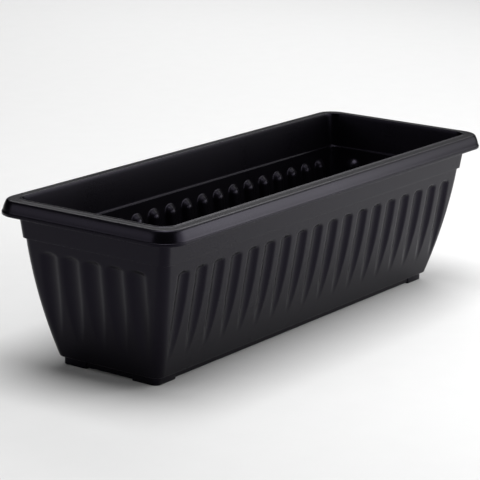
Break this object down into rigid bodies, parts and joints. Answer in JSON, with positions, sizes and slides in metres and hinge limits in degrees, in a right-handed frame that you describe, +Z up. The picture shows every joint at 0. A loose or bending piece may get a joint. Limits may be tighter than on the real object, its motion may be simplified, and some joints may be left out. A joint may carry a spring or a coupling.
{
  "type": "plant trough",
  "caption": "Long tapered plant trough with a turned-down rim, a plain collar, vertical round-topped flutes, a low plinth on corner feet and lift-out drain plugs.",
  "frame": {"origin": "centre of the footprint, on the ground plane under the feet", "axes": "+X along the trough, +Y across it towards the back, +Z up"},
  "size_m": [0.6, 0.216, 0.169],
  "materials": {
    "trough_plastic": "satin charcoal black polypropylene",
    "plug_rubber": "soft black rubber"
  },
  "bodies": {
    "trough": {"trough": "trough_plastic"},
    "plug_1": {"plug_1": "plug_rubber"},
    "plug_2": {"plug_2": "plug_rubber"},
    "plug_3": {"plug_3": "plug_rubber"},
    "plug_4": {"plug_4": "plug_rubber"}
  },
  "joints": [
    {"name": "plug_1_lift", "type": "slide", "parent": "trough", "child": "plug_1", "axis": [0, 0, 1], "range_m": [0, 0.175]},
    {"name": "plug_2_lift", "type": "slide", "parent": "trough", "child": "plug_2", "axis": [0, 0, 1], "range_m": [0, 0.175]},
    {"name": "plug_3_lift", "type": "slide", "parent": "trough", "child": "plug_3", "axis": [0, 0, 1], "range_m": [0, 0.175]},
    {"name": "plug_4_lift", "type": "slide", "parent": "trough", "child": "plug_4", "axis": [0, 0, 1], "range_m": [0, 0.175]}
  ]
}
